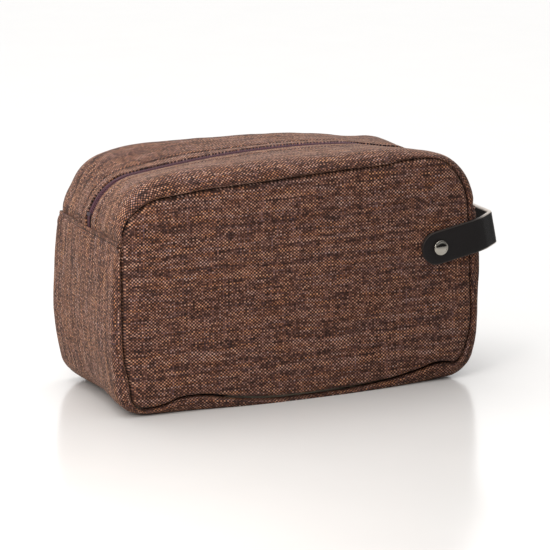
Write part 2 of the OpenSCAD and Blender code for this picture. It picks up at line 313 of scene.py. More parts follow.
# Material whose grain is a noise on the piece's own place, for foam, nylon, thread and metals
def grainedMaterial(name, light, dark, grain, relief, roughness, metallic=0.0, roughSpread=0.0):
    material, tree = newMaterial(name)
    place = addNode(tree, "ShaderNodeTexCoord").outputs["Object"]
    speckle = addNode(tree, "ShaderNodeTexNoise", {"Vector": place, "Scale": 1000 / grain, "Detail": 5.0})
    grains = speckle.outputs["Fac"]
    inputs = {"Base Color": mixColours(tree, grains, linearColour(dark), linearColour(light)),
              "Metallic": metallic, "Roughness": roughness}
    if roughSpread:
        inputs["Roughness"] = mapOnto(tree, grains, roughness - roughSpread, roughness + roughSpread)
    if relief:
        inputs["Normal"] = bumpFrom(tree, grains, 0.4, relief / 1000)
    finishMaterial(tree, inputs)
    return material


# Full-grain cowhide, dyed black and finished with a soft wax: a pebble of small
# cells with creases between them, half-gloss, worn a little browner where it bends
leatherLook = {"pebble": 0.9, "crease": 6.0, "relief": 0.12, "roughness": 0.46}


def dyedLeather(name, look, light, dark):
    material, tree = newMaterial(name)
    place = addNode(tree, "ShaderNodeTexCoord").outputs["Object"]
    bend = addNode(tree, "ShaderNodeTexNoise", {"Vector": place, "Scale": 300.0, "Detail": 2.0})
    mixed = addNode(tree, "ShaderNodeMix", {0: 0.0015, 4: place, 5: bend.outputs["Color"]}, data_type="VECTOR")
    cells = addNode(tree, "ShaderNodeTexVoronoi", {"Vector": mixed.outputs[1], "Scale": 1000 / look["pebble"]},
                    feature="DISTANCE_TO_EDGE")
    pebble = addNode(tree, "ShaderNodeMapRange", {0: cells.outputs["Distance"], 1: 0.0, 2: 0.18})
    creases = addNode(tree, "ShaderNodeTexNoise",
                      {"Vector": place, "Scale": 1000 / look["crease"], "Detail": 6.0, "Roughness": 0.65})
    height = addNode(tree, "ShaderNodeMath", {0: creases.outputs["Fac"], 1: 0.8, 2: pebble.outputs[0]},
                     operation="MULTIPLY_ADD")
    tone = mixColours(tree, creases.outputs["Fac"], linearColour(dark), linearColour(light))
    rough = mapOnto(tree, creases.outputs["Fac"], look["roughness"] - 0.08, look["roughness"] + 0.12)
    finishMaterial(tree, {"Base Color": tone, "Roughness": rough, "Specular IOR Level": 0.28,
                          "Normal": bumpFrom(tree, height.outputs[0], 0.5, look["relief"] / 1000)})
    return material


shellCanvas = melangeCanvas("melangeCanvas", canvasLook)
# Polyester taffeta lining: fine, smooth and black, with a slight shine
liningCloth = plainCloth("blackTaffeta", "#1b1a1c", 0.8, 0.0001, 0.6)
# Grosgrain binding: ribbed black tape
bindingCloth = plainCloth("grosgrainTape", "#161517", 1.2, 0.0002, 0.8)
# Zip tape: close herringbone polyester, plum, matt
tapeCloth = plainCloth("plumZipTape", "#4b1d2c", 1.1, 0.0002, 0.85)
# Closed-cell polyethylene foam: off-white, finely pitted, matt
foamSheet = grainedMaterial("closedCellFoam", "#e4ddcd", "#cfc7b4", 1.2, 0.15, 0.9)
# Nylon monofilament coil: dyed plum, smooth with a soft shine
coilNylon = grainedMaterial("nylonMonofilament", "#591f34", "#3a1422", 2.0, 0.0, 0.45)
# Bonded polyester thread: brown, slightly glossy
sewingThread = grainedMaterial("polyesterThread", "#33211c", "#1d1311", 0.4, 0.05, 0.7)
# Nickel plate on zinc: bright with a faint warm tint and light handling marks
zincNickel = grainedMaterial("nickelPlatedZinc", "#d5d0c6", "#bdb8ae", 1.5, 0.0, 0.26, 1.0, 0.06)
# The zip's stops: the same metal under plum enamel, half-gloss
stopEnamel = grainedMaterial("plumEnamel", "#351a25", "#24121a", 1.5, 0.0, 0.6)
# Polished nickel plate on pressed steel: mirror-like
steelNickel = grainedMaterial("polishedNickel", "#b9b5ac", "#a19d94", 3.0, 0.0, 0.12, 1.0, 0.03)
strapLeather = dyedLeather("blackCowhide", leatherLook, "#150f10", "#080606")


# Cut edge of the strap: painted dark, with a pale painted highlight over the bend, for the light the bent edge
# catches
def edgeWithBendHighlight(name, look, painted, highlightPale):
    material = dyedLeather(name, look, painted, painted)
    tree = material.node_tree
    place = addNode(tree, "ShaderNodeTexCoord").outputs["Object"]
    reach = addNode(tree, "ShaderNodeSeparateXYZ", {0: place}).outputs[0]
    # Painted highlight: the edge turns pale from x = 126 to 137 mm, over the bend
    bendHighlight = addNode(tree, "ShaderNodeMapRange", {0: reach, 1: 0.126, 2: 0.137}, interpolation_type="SMOOTHSTEP")
    colour = mixColours(tree, bendHighlight.outputs[0], linearColour(painted), linearColour(highlightPale))
    tree.links.new(colour, tree.nodes["Principled BSDF"].inputs["Base Color"])
    return material


# Edge paint, with a pale painted highlight over the bend
strapEdge = edgeWithBendHighlight("edgePaintWithBendHighlight", leatherLook, "#2a2421", "#b3aaa1")
print("materials made")


# ---- the bag's outline, clockwise from the zip's left-hand end ----

bagOutline = {
    "crownRadius": 620.0, "shoulderRadius": 36.0, "shoulderX": 90.0, "shoulderZ": 112.0,
    "sideRadius": 400.0, "sideZ": 60.0, "footRadius": 18.0,
}


def traceOutline(o):
    lift = o["shoulderZ"] - o["sideZ"]
    crownReach = o["crownRadius"] - o["shoulderRadius"]
    sideReach = o["sideRadius"] - o["shoulderRadius"]
    footReach = o["sideRadius"] - o["footRadius"]
    crownZ = o["shoulderZ"] - math.sqrt(crownReach**2 - o["shoulderX"]**2)
    crownHalf = math.asin(o["shoulderX"] / crownReach)
    sideTop = math.asin(lift / sideReach)
    sideX = o["shoulderX"] - sideReach * math.cos(sideTop)
    sideFoot = -math.asin((o["sideZ"] - o["footRadius"]) / footReach)
    footX = sideX + footReach * math.cos(sideFoot)
    zipEnd = math.asin(lift / o["sideRadius"])
    half, quarter = math.pi, math.pi / 2
    right = (sideX, o["sideZ"], o["sideRadius"])
    left = (-sideX, o["sideZ"], o["sideRadius"])
    top = [
        left + (half - zipEnd, half - sideTop),
        (-o["shoulderX"], o["shoulderZ"], o["shoulderRadius"], half - sideTop, quarter + crownHalf),
        (0.0, crownZ, o["crownRadius"], quarter + crownHalf, quarter - crownHalf),
        (o["shoulderX"], o["shoulderZ"], o["shoulderRadius"], quarter - crownHalf, sideTop),
        right + (sideTop, zipEnd),
    ]
    below = [
        right + (zipEnd, sideFoot),
        (footX, o["footRadius"], o["footRadius"], sideFoot, -quarter),
        (-footX, o["footRadius"], o["footRadius"], -quarter, -half - sideFoot),
        left + (-half - sideFoot, -half - zipEnd),
    ]

    def walk(arcs):
        line = []
        for x, z, r, start, stop in arcs:
            angles = np.linspace(start, stop, max(3, int(abs(stop - start) * r / 0.5)))
            line.append(np.stack([x + r * np.cos(angles), z + r * np.sin(angles),
                                  np.cos(angles), np.sin(angles)], 1))
        return np.concatenate(line)

    strips, rest = walk(top), walk(below)
    places = np.concatenate([strips, rest])
    gaps = np.linalg.norm(np.diff(places[:, :2], axis=0), axis=1)
    run = np.concatenate([[0], np.cumsum(gaps)])
    keep = np.concatenate([[True], gaps > 1e-6])
    return run[keep], places[keep], run[len(strips) - 1], run[-1]


outlineRun, outlinePlaces, zipRun, loopRun = traceOutline(bagOutline)


# x, z and the outward normal at places along the loop
def onOutline(at):
    at = np.mod(at, loopRun)
    x, z, nx, nz = (np.interp(at, outlineRun, outlinePlaces[:, i]) for i in range(4))
    size = np.hypot(nx, nz)
    return x, z, nx / size, nz / size


def outlineWard(at):
    _, _, nx, nz = onOutline(at)
    return np.stack([nx, 0 * nx, nz], 1)


# How the padded cloth lies, as knots of (place along the loop, size)
clothLie = {
    "halfDepth": 56.0,
    # seams, as the distance in from the outline
    "frontSeam": [(12, 2), (30, 4.8), (50, 7.4), (75, 8.4), (125, 10), (165, 8), (205, 4.4), (231, -1),
                  (249, -1.9), (262, 1.3), (275, 3.5), (300, 5.4), (340, 6.2), (378, 5.8), (392, 9.4),
                  (410, 10.6), (428, 12.2), (440, 9.2), (455, 6.3), (480, 4), (520, 2.9), (545, 3.2), (572, 6),
                  (600, 10.1), (610, 9.6), (622, 6), (634, 4.6), (646, 6.3), (661, 8.8), (682, 7), (731, 5.3)],
    "rearSeam": [(10, 7.2), (24, 7.0), (38, 5.6), (60, 6), (110, 7.5), (170, 8), (230, 6), (262, 3), (285, 4.5),
                 (340, 6), (385, 7), (405, 9.5), (428, 8), (470, 4), (540, 3.5), (590, 5.5), (618, 9),
                 (640, 7.5), (665, 8), (700, 6), (722, 6)],
    # how deep each rolled edge is, front to back
    "frontRoll": [(10, 9), (60, 13), (150, 14), (240, 12), (290, 8), (380, 7), (430, 7), (520, 4), (600, 7),
                  (660, 8), (740, 7)],
    "rearRoll": [(10, 10), (60, 14), (150, 15), (240, 14), (290, 9), (380, 7.5), (430, 8), (520, 5), (600, 7),
                 (660, 8), (740, 8)],
    # how far the crest of each rolled edge stands out from the outline
    "frontCrest": [(0, 0), (14, 1.5), (34, 4), (60, 4.5), (110, 2), (165, 1.5), (205, 4.0), (225, 5.4),
                   (243, 4.9), (257, 4.8), (271, 3.9), (284, 2.4), (300, 1.6), (325, 2.4), (352, 1.4),
                   (385, 1.4), (405, -1.5), (430, 0), (455, 1.4), (520, 2.6), (590, 1.4), (620, 0), (645, -0.8),
                   (665, 0), (720, 0.4)],
    "rearCrest": [(0, -2.0), (10, -3.8), (22, -3.9), (36, 0.2), (50, 3.8), (62, 5.3), (75, 4.9), (97, 3),
                  (124, 1.2), (160, 0.3), (205, -0.3), (222, -1.4), (240, -1), (262, 0.6), (284, 1), (300, 0.8),
                  (352, 1), (385, 0.6), (405, -0.5), (430, 0), (450, 0.6), (590, 0.6), (615, 0), (632, -1.2),
                  (648, -3.8), (664, -2.6), (690, -0.5), (718, -0.9)],
    # how far the zip stands out from the outline
    "zipRise": [(0, 0), (14, -1), (38, -1.4), (75, -1.6), (105, -1), (150, 0), (190, 1), (211, 1.2), (226, 0.4),
                (236, 0), (255, 0), (zipRun, 0), (385, 0), (404, -1.5), (430, 0), (450, 0), (590, 0), (610, 0),
                (630, -1.5), (648, -4.6), (666, -3), (690, -0.8), (720, 0)],
    # how far the seam at the foot of the front bellies forward
    "belly": [(0, 0), (240, 0), (400, 0), (440, 1.0), (500, 3.8), (560, 3.8), (600, 1.8), (640, 0.2), (700, 0)],
    # how wide the groove at each seam stands open
    "seamGap": [(0, 0.26), (400, 0.26), (430, 0.46), (600, 0.46), (625, 0.26), (700, 0.26)],
    "tuckWidth": 2.7, "tuckDepth": 5.6, "foamClear": 1.9, "setBack": 4.0,
    "wrinkle": 0.5, "wrinkleSize": 24.0, "pucker": 0.35, "puckerSize": 7.0,
}
frontWard, rearWard = 1, -1


def lie(kind, at):
    return throughKnots(at, clothLie[kind], loopRun)


def lieOf(side, kind, at):
    return lie(("front" if side == frontWard else "rear") + kind, at)


# One side's half section of a layer at each station, from the seam in to edgeY.
# Gives distance out from the outline and distance towards that side's panel.
def halfSection(side, at, depth, edgeY, tuck, rollSteps=12, flatSteps=16):
    inset, roll = lieOf(side, "Seam", at), lieOf(side, "Roll", at)
    crest, rise = lieOf(side, "Crest", at), lie("zipRise", at)
    belly = lie("belly", at) if side == frontWard else 0 * at
    face = clothLie["halfDepth"] + belly - depth - (clothLie["setBack"] if depth else 0)
    top = crest - depth
    foot = np.minimum(clothLie["foamClear"] - inset, top - 0.8) if depth else lie("seamGap", at) - inset
    deep = np.maximum(roll - depth, 1.0)
    height = np.maximum(top - foot, 0.8)
    out, forward = [], []
    if tuck:
        for share in (0.0, 0.02, 0.08, 0.2, 0.38, 0.62, 1.0):
            away = share * np.minimum(clothLie["tuckWidth"], height * 0.6)
            angle = np.arcsin(np.clip(away / height, 0, 1))
            sunk = clothLie["tuckDepth"] * (1 - math.sqrt(1 - (1 - share)**2))
            out.append(foot + away)
            forward.append(face - deep + deep * np.cos(angle) - sunk)
        first = np.arcsin(np.clip(np.minimum(clothLie["tuckWidth"], height * 0.6) / height, 0, 1))
    else:
        first = 0 * at
    for i in range(1 if tuck else 0, rollSteps + 1):
        angle = first + (math.pi / 2 - first) * i / rollSteps
        out.append(foot + height * np.sin(angle))
        forward.append(face - deep + deep * np.cos(angle))
    flats = [(face - deep) + (edgeY - (face - deep)) * i / flatSteps for i in range(1, flatSteps + 1)]
    if tuck and edgeY[0] > 0:
        line = shellLayers["lip"] + topstitch["besideLip"]
        flats = [(face - deep) + (line + 2.4 - (face - deep)) * i / flatSteps for i in range(1, flatSteps + 1)]
        flats += [line + away + 0 * at for away in (1.5, 0.9, 0.5, 0.2, -0.2, -0.5, -0.9, -1.5, -2.4, -4.0, -5.8)]
        flats += [shellLayers["lip"] + away + 0 * at for away in (1.2, 0.5, 0.0)]
    for y in flats:
        share = smoothStep(np.abs(y) / (face - deep))
        out.append(rise - depth + (crest - rise) * share)
        forward.append(y)
    return np.stack(out, 1), np.stack(forward, 1)


def placeSection(at, out, y):
    x, z, nx, nz = (v[:, None] for v in onOutline(at))
    return np.stack([x + nx * out, y, z + nz * out], 2)


# Soft unevenness of the padded cloth, in the direction of the normals
def roughen(points, strength=1.0):
    size = clothLie["wrinkleSize"]
    broad = softNoise(points[..., 0], points[..., 1], points[..., 2], size)
    fine = softNoise(points[..., 0] + 90, points[..., 1], points[..., 2], size * 0.4)
    return strength * clothLie["wrinkle"] * (broad + 0.35 * fine)


def sectionRun(points):
    steps = np.linalg.norm(np.diff(points, axis=1), axis=2)
    return np.concatenate([np.zeros((len(points), 1)), np.cumsum(steps, 1)], 1)


topstitch = {"besideLip": 8.0, "belowFold": 2.4, "dip": 0.7, "dipWidth": 0.9, "proud": 0.15, "stripFrom": 6.0}
shellLayers = {
    # outer and inner face, as depths in from the bag's surface
    "cloth": (0.0, 1.2), "foam": (1.5, 5.3), "lining": (5.5, 6.3),
    # the turned hem at each end of the gusset: how long, how far it stands up, how much thicker
    "hemLong": 6.5, "hemLift": 0.5, "hemThick": 0.9,
    "lip": 4.8, "tapeEdge": 15.2, "foldOver": 2.2, "foldUnder": 1.7,
}


def foldLift(at):
    s = shellLayers
    ends = np.minimum(at, zipRun - at)
    return -s["foldUnder"] * (1 - smoothStep(ends / 9.0))


strapShape = {
    "width": 22.0, "thick": 2.8, "edge": 0.9, "rivetX": 98.8, "rivetZ": 91.0, "rise": 11.0,
    "inner": 56.3, "reach": 143.6, "bend": 3.6, "dimple": 0.45, "dimpleReach": 8.5,
    # flat for this far past the rivet, then curving in on this radius
    "flatRun": 25.0, "curve": 26.0, "tail": 13.0,
}


# The handle sweeps past the right-hand end, so the rolled edges there are pressed in to clear it
def clearOfStrap(points):
    s = strapShape
    x, y, z = points[..., 0], points[..., 1], points[..., 2]
    reach = np.hypot(x - s["rivetX"], z - s["rivetZ"])
    curved, straight = np.clip(reach - s["flatRun"], 0, 8.2), np.clip(reach - s["flatRun"] - 8.2, 0, 9)
    limit = s["inner"] - s["curve"] - 0.3 + np.sqrt(s["curve"]**2 - curved**2) - 0.38 * straight
    limit = limit + 6 * smoothStep((66 - z) / 12) + 6 * smoothStep((z - 114) / 10) + 9 * smoothStep((94 - x) / 8)
    pressed = points.copy()
    pressed[..., 1] = np.clip(y, -limit, limit)
    return pressed


# How far a topstitched line pulls the cloth in, by the distance from it
def stitchDip(away):
    return topstitch["dip"] * np.exp(-(away / topstitch["dipWidth"])**2)


def makeStrip(side, kind, material, name):
    depths = shellLayers[kind]
    at = np.linspace(-0.5, zipRun + 0.5, 240) if kind == "cloth" else np.linspace(1.0, zipRun - 1.0, 150)
    lip = shellLayers["lip"]
    edge = np.full_like(at, {"cloth": lip, "lining": lip + 0.6, "foam": shellLayers["tapeEdge"]}[kind])
    grids = []
    for depth in depths:
        tuck = kind == "cloth"
        out, y = halfSection(side, at, 0.0 if tuck else depth, edge, tuck)
        out = out + foldLift(np.clip(at, 0, zipRun))[:, None]
        grids.append(placeSection(at, out, -side * y))
    outer, inner = grids
    if kind == "cloth":
        normal = outward(outer, outlineWard(at), -3)
        lipFade = smoothStep((sectionRun(outer)[:, -1:] - sectionRun(outer)) / 8)
        bumps = roughen(outer) * lipFade * smoothStep(np.minimum(at, zipRun - at) / 10)[:, None]
        bumps -= stitchDip(y - lip - topstitch["besideLip"])
        outer = outer + normal * bumps[..., None]
        outer = clearOfStrap(outer)
        inner = outer - normal * depths[1]
    run = sectionRun(outer)
    uv = np.stack([np.broadcast_to(at[:, None], run.shape), side * (run[:, -1:] - run + 4)], 2)
    return makeLayer(name, outer, inner, material, uv, flip=side == frontWard)


def makeGusset(kind, material, name):
    depths = shellLayers[kind]
    s = shellLayers
    reach = s["foldOver"] if kind == "cloth" else -1.0
    at = np.linspace(zipRun - reach, loopRun + reach, 220)
    if kind == "cloth":
        near = np.array([0, 0.3, 0.7, 1.1, 1.5, 1.8, 2.1, 2.4, 2.7, 3.0, 3.4, 3.9, 4.5, 5.3, 6.2, 7.2])
        at = np.concatenate([at[0] + near, np.linspace(at[0] + 8.2, at[-1] - 8.2, 380), at[-1] - near[::-1]])
    grids = []
    for depth in depths:
        tuck = kind == "cloth"
        halves = []
        for side in (frontWard, rearWard):
            out, y = halfSection(side, at, 0.0 if tuck else depth, np.zeros_like(at), tuck)
            halves.append(placeSection(at, out, -side * y))
        whole = np.concatenate([halves[0], halves[1][:, -2::-1]], 1)
        whole[..., 2] = np.maximum(whole[..., 2], 0.05 + depth)
        grids.append(whole)
    outer, inner = grids
    if kind == "cloth":
        normal = outward(outer, outlineWard(at), outer.shape[1] // 2)
        ends = np.minimum(at - at[0], at[-1] - at)
        hem = s["hemLift"] * (1 - smoothStep((ends - s["hemLong"]) / 2.5))
        run = sectionRun(outer)
        seamFade = smoothStep(np.minimum(run, run[:, -1:] - run) / 4)
        base = smoothStep(outer[..., 2] / 8)
        bumps = roughen(outer, 1.0) * base - stitchDip(ends - topstitch["belowFold"])[:, None]
        outer = outer + normal * ((hem[:, None] + bumps) * np.maximum(seamFade, 0.15))[..., None]
        outer[..., 2] = np.maximum(outer[..., 2], 0.05)
        outer = clearOfStrap(outer)
        thick = depths[1] * (1 + s["hemThick"] * (1 - smoothStep((ends - s["hemLong"]) / 1.5)))
        inner = outer - normal * thick[:, None, None]
    run = sectionRun(outer)
    uv = np.stack([np.broadcast_to(at[:, None], run.shape), run - run[:, -1:] / 2], 2)
    return makeLayer(name, outer, inner, material, uv, flip=True)


# ---- front and rear panels ----

panelShape = {
    "spineHalf": 66.0, "spineZ": 76.0, "pillow": 1.1, "pillowReach": 16.0,
    # it is pressed flat under the handle, from one x to another and between two heights
    "flatFromX": 66.0, "flatToX": 84.0, "pressedAbove": 48.0, "pressedBelow": 128.0, "bellyReach": 26.0,
    # creases as x, z at each end, height and width
    "creases": [(-82, 12, -104, 44, 0.9, 6), (-74, 12, -44, 26, 0.7, 7), (96, 14, 76, 34, 0.8, 7),
                (100, 14, 112, 40, 0.5, 6), (-116, 128, -98, 112, 0.4, 7), (-104, 12, -112, 30, 0.6, 5)],
}


def makePanel(side, kind, material, name):
    shape, layers = panelShape, shellLayers
    at = np.linspace(0, loopRun, 421)[:-1]
    x, z, nx, nz = onOutline(at)
    inset = lieOf(side, "Seam", at)
    belly = lie("belly", at) if side == frontWard else 0 * at
    grids = []
    for depth in layers[kind]:
        if kind == "cloth":
            edges = [0.0, 0.04, 0.16, 0.4, 0.76, 1.24, 2.0, 3.2, 5.0]
            start = inset + lie("seamGap", at)
        else:
            edges = [0.0, 2.0, 5.0]
            start = inset + clothLie["foamClear"] + 0.9 + 0.3 * depth
        rings = [(x - nx * (start + e), z - nz * (start + e), np.full_like(x, e)) for e in edges]
        lastX, lastZ, _ = rings[-1]
        spineX = np.clip(lastX, -shape["spineHalf"], shape["spineHalf"])
        away = np.hypot(spineX - lastX, shape["spineZ"] - lastZ)
        steps = 26
        for i in range(1, steps + 1):
            share = 0.93 * (i / steps) ** 1.15
            rings.append((lastX + (spineX - lastX) * share, lastZ + (shape["spineZ"] - lastZ) * share,
                          edges[-1] + away * share))
        ringX, ringZ, e = (np.stack([r[k] for r in rings], 1) for k in range(3))
        flat = smoothStep((ringX - shape["flatFromX"]) / (shape["flatToX"] - shape["flatFromX"]))
        pressed = flat
        if side == frontWard:
            pressed = (flat * smoothStep((ringZ - shape["pressedAbove"]) / 20)
                       * smoothStep((shape["pressedBelow"] - ringZ) / 12))
        forward = shape["pillow"] * smoothStep(e / shape["pillowReach"]) * (1 - pressed)
        forward += belly[:, None] * np.exp(-e / shape["bellyReach"])
        if kind == "cloth":
            share = np.clip(e / clothLie["tuckWidth"], 0, 1)
            forward -= clothLie["tuckDepth"] * (1 - np.sqrt(1 - (1 - share)**2))
            uneven = roughen(np.stack([ringX, 0 * ringX + side * 40, ringZ], 2), 0.9)
            pucker = softNoise(at[:, None] + 0 * e, 0 * e + side * 17, 0 * e, clothLie["puckerSize"])
            forward += (uneven * smoothStep(e / 12) * (1 - 0.8 * pressed)
                        + clothLie["pucker"] * pucker * smoothStep(e / 1.5) * np.exp(-e / 5) * (1 - pressed))
            for x0, z0, x1, z1, lift, width in shape["creases"]:
                dx, dz = x1 - x0, z1 - z0
                u = np.clip(((ringX - x0) * dx + (ringZ - z0) * dz) / (dx * dx + dz * dz), 0, 1)
                gap = np.hypot(ringX - x0 - u * dx, ringZ - z0 - u * dz)
                forward += lift * np.exp(-(gap / width)**2) * (1 - u) * smoothStep(e / 3)
        y = -side * (clothLie["halfDepth"] + forward - (0 if kind == "cloth" else depth))
        grids.append(np.stack([ringX, y, ringZ], 2))
    outer, inner = grids
    if kind == "cloth":
        normal = outward(outer, (0, -side, 0), 16, True)
        normal[:, -3:] = (0, -side, 0)
        inner = outer - normal * layers[kind][1]
    uv = np.stack([outer[..., 0] * side, outer[..., 2]], 2) + (300, 40)
    return makeLayer(name, outer, inner, material, uv, flip=side == rearWard, closedRows=True)


sides = ((frontWard, "front"), (rearWard, "rear"))
for kind, material, ending in (("cloth", shellCanvas, "Cloth"), ("foam", foamSheet, "Foam"),
                               ("lining", liningCloth, "Lining")):
    for side, word in sides:
        makePanel(side, kind, material, word + "Panel" + ending)
        makeStrip(side, kind, material, word + ("ZipStrip" if kind == "cloth" else "Strip") + ending)
    makeGusset(kind, material, "lowerGusset" + ending)
    print(kind, "made")


# ---- tapes and bindings: bars of one closed section carried along the loop ----

def makeBar(name, at, out, y, material, closed=False):
    grid = placeSection(at, out, y)
    rows, count = grid.shape[:2]
    faces = tubeFaces(rows, count, closed)
    girth = np.concatenate([[0], np.cumsum(np.hypot(np.diff(out[0]), np.diff(y[0])))])
    uv = np.stack([np.broadcast_to(girth, (rows, count)), np.broadcast_to(at[:, None], (rows, count))], 2)
    piece = makePiece(name, grid.reshape(-1, 3), faces, material, uv.reshape(-1, 2))
    pointOutwards(piece)
    return piece


def pointOutwards(piece):
    shape = bmesh.new()
    shape.from_mesh(piece.data)
    bmesh.ops.recalc_face_normals(shape, faces=shape.faces)
    shape.to_mesh(piece.data)
    shape.free()


# Section with rounded corners, as distances out and across
def softBox(fromOut, toOut, fromY, toY, corner=0.25):
    low, high = (fromOut + corner, fromY + corner), (toOut - corner, toY - corner)
    points = []
    for turn, (x, y) in enumerate(((high[0], high[1]), (low[0], high[1]), (low[0], low[1]), (high[0], low[1]))):
        for part in range(3):
            angle = math.pi / 2 * (turn + part / 2)
            points.append((x + corner * math.cos(angle), y + corner * math.sin(angle)))
    return np.array(points)


zipSizes = {
    "tapeFrom": 1.1, "tapeTo": 14.5, "tapeTop": 1.3, "tapeThick": 0.55, "proud": 0.75,
    "coilInset": 11.7, "coilDepth": 1.5, "coilCentre": 1.42, "coilHalfWidth": 1.25, "coilHalfHeight": 0.76,
    "coilPitch": 1.5, "wireRadius": 0.33, "coilLean": 0.35,
    # the chain is lifted from the first place on, and back in its seat from the second
    "lifts": (14, 14), "seats": (204, 16),
}
bindingSizes = {"wide": 7.6, "thick": 1.9, "seamIn": 1.0, "endWide": 4.4, "endThick": 1.2, "endHalf": 46.0}


# How far the chain stands proud of its seat; it is down in it where the slider runs
def chainLift(at):
    (liftFrom, liftOver), (seatFrom, seatOver) = zipSizes["lifts"], zipSizes["seats"]
    return zipSizes["proud"] * smoothStep((at - liftFrom) / liftOver) * (1 - smoothStep((at - seatFrom) / seatOver))


def makeTape(side, name):
    z = zipSizes
    at = np.linspace(0.4, zipRun - 0.4, 180)
    section = softBox(-z["tapeTop"] - z["tapeThick"], -z["tapeTop"], z["tapeFrom"], z["tapeTo"], 0.2)
    between = np.array([4.8, 4.2, 3.6, 3.0, 2.6])
    section = np.concatenate([section[:6], np.stack([0 * between + section[5, 0], between], 1), section[6:],
                              np.stack([0 * between + section[11, 0], between[::-1]], 1)])
    sink = lie("zipRise", at) + foldLift(at) * 0.9
    middle = 1 - smoothStep((section[None, :, 1] - 2.6) / 2.2)
    out = section[None, :, 0] + sink[:, None] - 0.12 + chainLift(at)[:, None] * middle
    y = -side * section[None, :, 1] + 0 * out
    return makeBar(name, at, out, y, tapeCloth)


def makeSeamBinding(side, name):
    b = bindingSizes
    at = np.linspace(0, loopRun, 300)[:-1]
    deep = shellLayers["lining"][1] + 0.3
    section = softBox(-b["wide"], 0, 0, b["thick"], 0.5)
    inset = np.maximum(lieOf(side, "Seam", at), deep) + b["seamIn"]
    out = section[None, :, 0] - inset[:, None]
    y = -side * (clothLie["halfDepth"] - deep - b["thick"] + section[None, :, 1]) + 0 * out
    return makeBar(name, at, out, y, bindingCloth, closed=True)


def makeEndBinding(first, name):
    b = bindingSizes
    at = np.linspace(first, first + b["endWide"], 12)
    deep = shellLayers["lining"][1] + 0.5
    section = softBox(-deep - b["endThick"], -deep, -b["endHalf"], b["endHalf"], 0.4)
    out = section[None, :, 0] + 0 * at[:, None]
    return makeBar(name, at, out, section[None, :, 1] + 0 * out, bindingCloth)


for side, word in sides:
    makeTape(side, word + "ZipTapeWoven")
    makeSeamBinding(side, word + "SeamTape")
makeEndBinding(zipRun + 0.6, "rightEndTape")
makeEndBinding(loopRun - 5.0, "leftEndTape")
print("tapes and bindings made")


# ---- what repeats along a line: stitches and zip coils ----

# Starts a tree: its inputs, and points at even steps along the line it is given
def startTree(name, inputs):
    tree = bpy.data.node_groups.new(name, "GeometryNodeTree")
    tree.interface.new_socket("Line", in_out="INPUT", socket_type="NodeSocketGeometry")
    for label, value in inputs:
        tree.interface.new_socket(label, in_out="INPUT", socket_type="NodeSocketFloat").default_value = value
    tree.interface.new_socket("Material", in_out="INPUT", socket_type="NodeSocketMaterial")
    tree.interface.new_socket("Geometry", in_out="OUTPUT", socket_type="NodeSocketGeometry")
    source = addNode(tree, "NodeGroupInput")
    line = addNode(tree, "GeometryNodeMeshToCurve", {0: source.outputs["Line"]})
    steps = addNode(tree, "GeometryNodeResampleCurve", {"Curve": line.outputs[0], "Length": source.outputs["Step"]},
                    mode="LENGTH")
    return tree, source, steps.outputs[0]


# A turn that points Z along the line, leant over by a vector
def turnAlong(tree, lean):
    tangent = addNode(tree, "GeometryNodeInputTangent")
    heading = addNode(tree, "ShaderNodeVectorMath", {0: tangent.outputs[0], 1: lean}, operation="ADD")
    return addNode(tree, "FunctionNodeAlignRotationToVector", {"Vector": heading.outputs[0]}, axis="Z").outputs[0]


# Ends every tree: one shape on each point, made real, smooth, and given the material
def closeTree(tree, source, points, shape, turn):
    placed = addNode(tree, "GeometryNodeInstanceOnPoints", {"Points": points, "Instance": shape, "Rotation": turn})
    real = addNode(tree, "GeometryNodeRealizeInstances", {0: placed.outputs[0]})
    smooth = addNode(tree, "GeometryNodeSetShadeSmooth", {0: real.outputs[0]})
    painted = addNode(tree, "GeometryNodeSetMaterial",
                      {0: smooth.outputs[0], "Material": source.outputs["Material"]})
    addNode(tree, "NodeGroupOutput", {0: painted.outputs[0]})
    return tree


# A row of stitches: one long bead of thread at each step along a line
def stitchTree():
    tree, source, steps = startTree("stitchRow", [("Step", 0.0033), ("Thread Length", 0.0027),
                                                  ("Thread Width", 0.0006), ("Slant", 0.12)])
    bead = addNode(tree, "GeometryNodeMeshUVSphere", {"Segments": 8, "Rings": 6, "Radius": 0.5})
    width = source.outputs["Thread Width"]
    size = addNode(tree, "ShaderNodeCombineXYZ", {0: width, 1: width, 2: source.outputs["Thread Length"]})
    thread = addNode(tree, "GeometryNodeTransform", {"Geometry": bead.outputs[0], "Scale": size.outputs[0]})
    wobble = addNode(tree, "FunctionNodeRandomValue", {"Seed": 11}, data_type="FLOAT_VECTOR")
    wobble.inputs[0].default_value, wobble.inputs[1].default_value = (-0.5, -0.5, -0.5), (0.5, 0.5, 0.5)
    turn = turnAlong(tree, scaleVector(tree, wobble.outputs[0], source.outputs["Slant"]))
    return closeTree(tree, source, steps, thread.outputs[0], turn)


